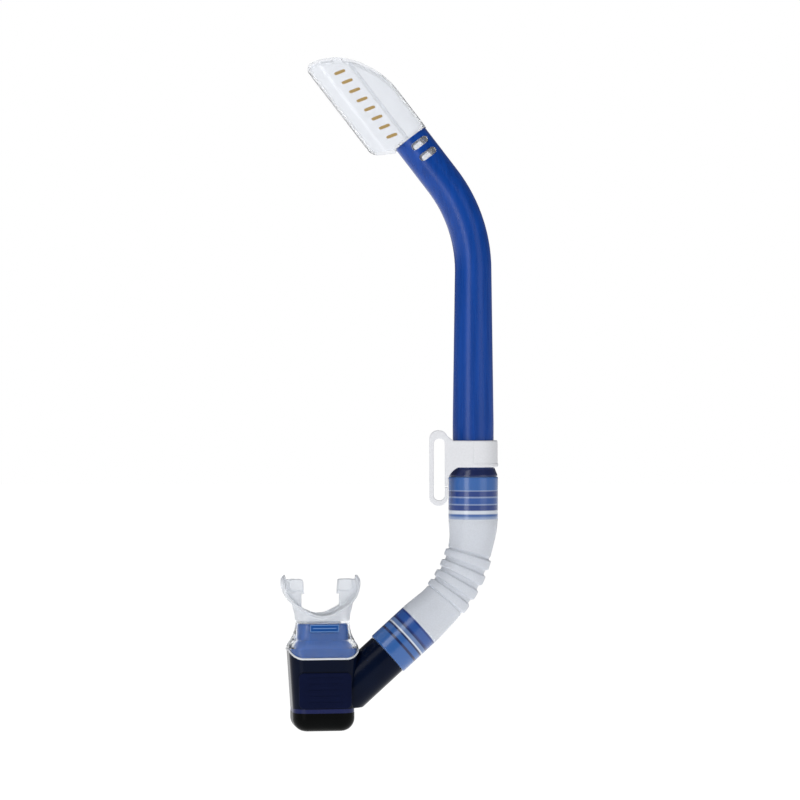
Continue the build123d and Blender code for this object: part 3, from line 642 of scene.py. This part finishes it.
# ---- slanted marks on the guard's front face ----------------------------------------------------------
GUARD_FOOT = Vector((-18.336, 0, 214.415))  # middle of the barrel's upper end, on the guard's front face
GUARD_UP = Vector((-0.608761, 0, 0.793353))
GUARD_LEFT = Vector((-0.793353, 0, -0.608761))
MARKS = 8
MARK_SIZE = (1.05, 3.5)  # half thickness and half length
MARK_SLANT = 0.28


def guard_mark(left, up):
    """One thin bar, its middle given leftwards and upwards from the barrel's upper end."""
    corners = []
    for k in range(24):
        a = 2 * pi * k / 24
        x = MARK_SIZE[0] * squared(cos(a), 0.5)
        y = MARK_SIZE[1] * squared(sin(a), 0.4)
        corners.append(GUARD_FOOT + GUARD_LEFT * (left + y) + GUARD_UP * (up + x + MARK_SLANT * y))
    return solid_rings([[(p + Vector((0, depth, 0))) * MM for p in corners] for depth in (0.02, -0.10)])


shares = [i / (MARKS - 1) for i in range(MARKS)]
marks = joined("guard_marks", [guard_mark(10.8 - 1.7 * t, 61.3 - 53.0 * t) for t in shares], GOLD)
shade(marks, False)
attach(marks, "barrel")

# ---- stage --------------------------------------------------------------------------------------------
FLOOR_DROP = 0.09  # clear of the body at every bend of the hose
FLOOR_REACH = 9.0
floor_z = cad_box[0][2] - FLOOR_DROP
corners = [(-FLOOR_REACH, -FLOOR_REACH), (FLOOR_REACH, -FLOOR_REACH), (FLOOR_REACH, FLOOR_REACH),
           (-FLOOR_REACH, FLOOR_REACH)]
floor_material = material("pale_floor", (0.22, 0.22, 0.22), 0.7, specular=0.0, bump=0.02, vary=0.01)
floor_shader = floor_material.node_tree.nodes["Principled BSDF"]
floor_shader.inputs["Emission Color"].default_value = (1, 1, 1, 1)
floor_shader.inputs["Emission Strength"].default_value = 1.0
floor = build("floor", [(x, y, floor_z) for x, y in corners], [(0, 1, 2, 3)], floor_material)


def softbox(name, place, target, size, watts):
    light = bpy.data.lights.new(name, "AREA")
    light.shape = "RECTANGLE"
    light.size, light.size_y = size
    light.energy = watts
    ob = bpy.data.objects.new(name, light)
    scene.collection.objects.link(ob)
    ob.location = place
    ob.rotation_euler = (Vector(target) - Vector(place)).to_track_quat("-Z", "Y").to_euler()


LIGHT_AIM = (-0.025, 0.014, 0.045)
softbox("key", (-0.62, -1.0, 0.35), LIGHT_AIM, (0.45, 1.5), 5.8)
softbox("fill", (1.0, -0.9, 0.3), LIGHT_AIM, (0.8, 1.0), 2.3)
softbox("top", (0.0, -0.2, 1.3), LIGHT_AIM, (1.0, 1.0), 3.6)


def white_world(around_strength, seen_strength):
    """A dim white world for reflections, and a bright one seen directly or through clear plastic."""
    world = bpy.data.worlds.new("studio")
    scene.world = world
    world.use_nodes = True
    nt = world.node_tree
    around = nt.nodes["Background"]
    seen = nt.nodes.new("ShaderNodeBackground")
    for background, strength in ((around, around_strength), (seen, seen_strength)):
        background.inputs["Color"].default_value = (1, 1, 1, 1)
        background.inputs["Strength"].default_value = strength
    path = nt.nodes.new("ShaderNodeLightPath")
    either = nt.nodes.new("ShaderNodeMath")
    either.operation = "MAXIMUM"
    nt.links.new(path.outputs["Is Camera Ray"], either.inputs[0])
    nt.links.new(path.outputs["Is Transmission Ray"], either.inputs[1])
    mix = nt.nodes.new("ShaderNodeMixShader")
    nt.links.new(either.outputs["Value"], mix.inputs["Fac"])
    nt.links.new(around.outputs["Background"], mix.inputs[1])
    nt.links.new(seen.outputs["Background"], mix.inputs[2])
    nt.links.new(mix.outputs["Shader"], nt.nodes["World Output"].inputs["Surface"])


white_world(0.16, 1.0)

CAMERA_DISTANCE = 2.0
lens = bpy.data.cameras.new("camera")
lens.sensor_width = 36
lens.lens = 138.46
camera = bpy.data.objects.new("camera", lens)
scene.collection.objects.link(camera)
camera.location = (-0.02535, BARREL_Y * MM - CAMERA_DISTANCE, 0.04485)
camera.rotation_euler = (pi / 2, 0, 0)
scene.camera = camera
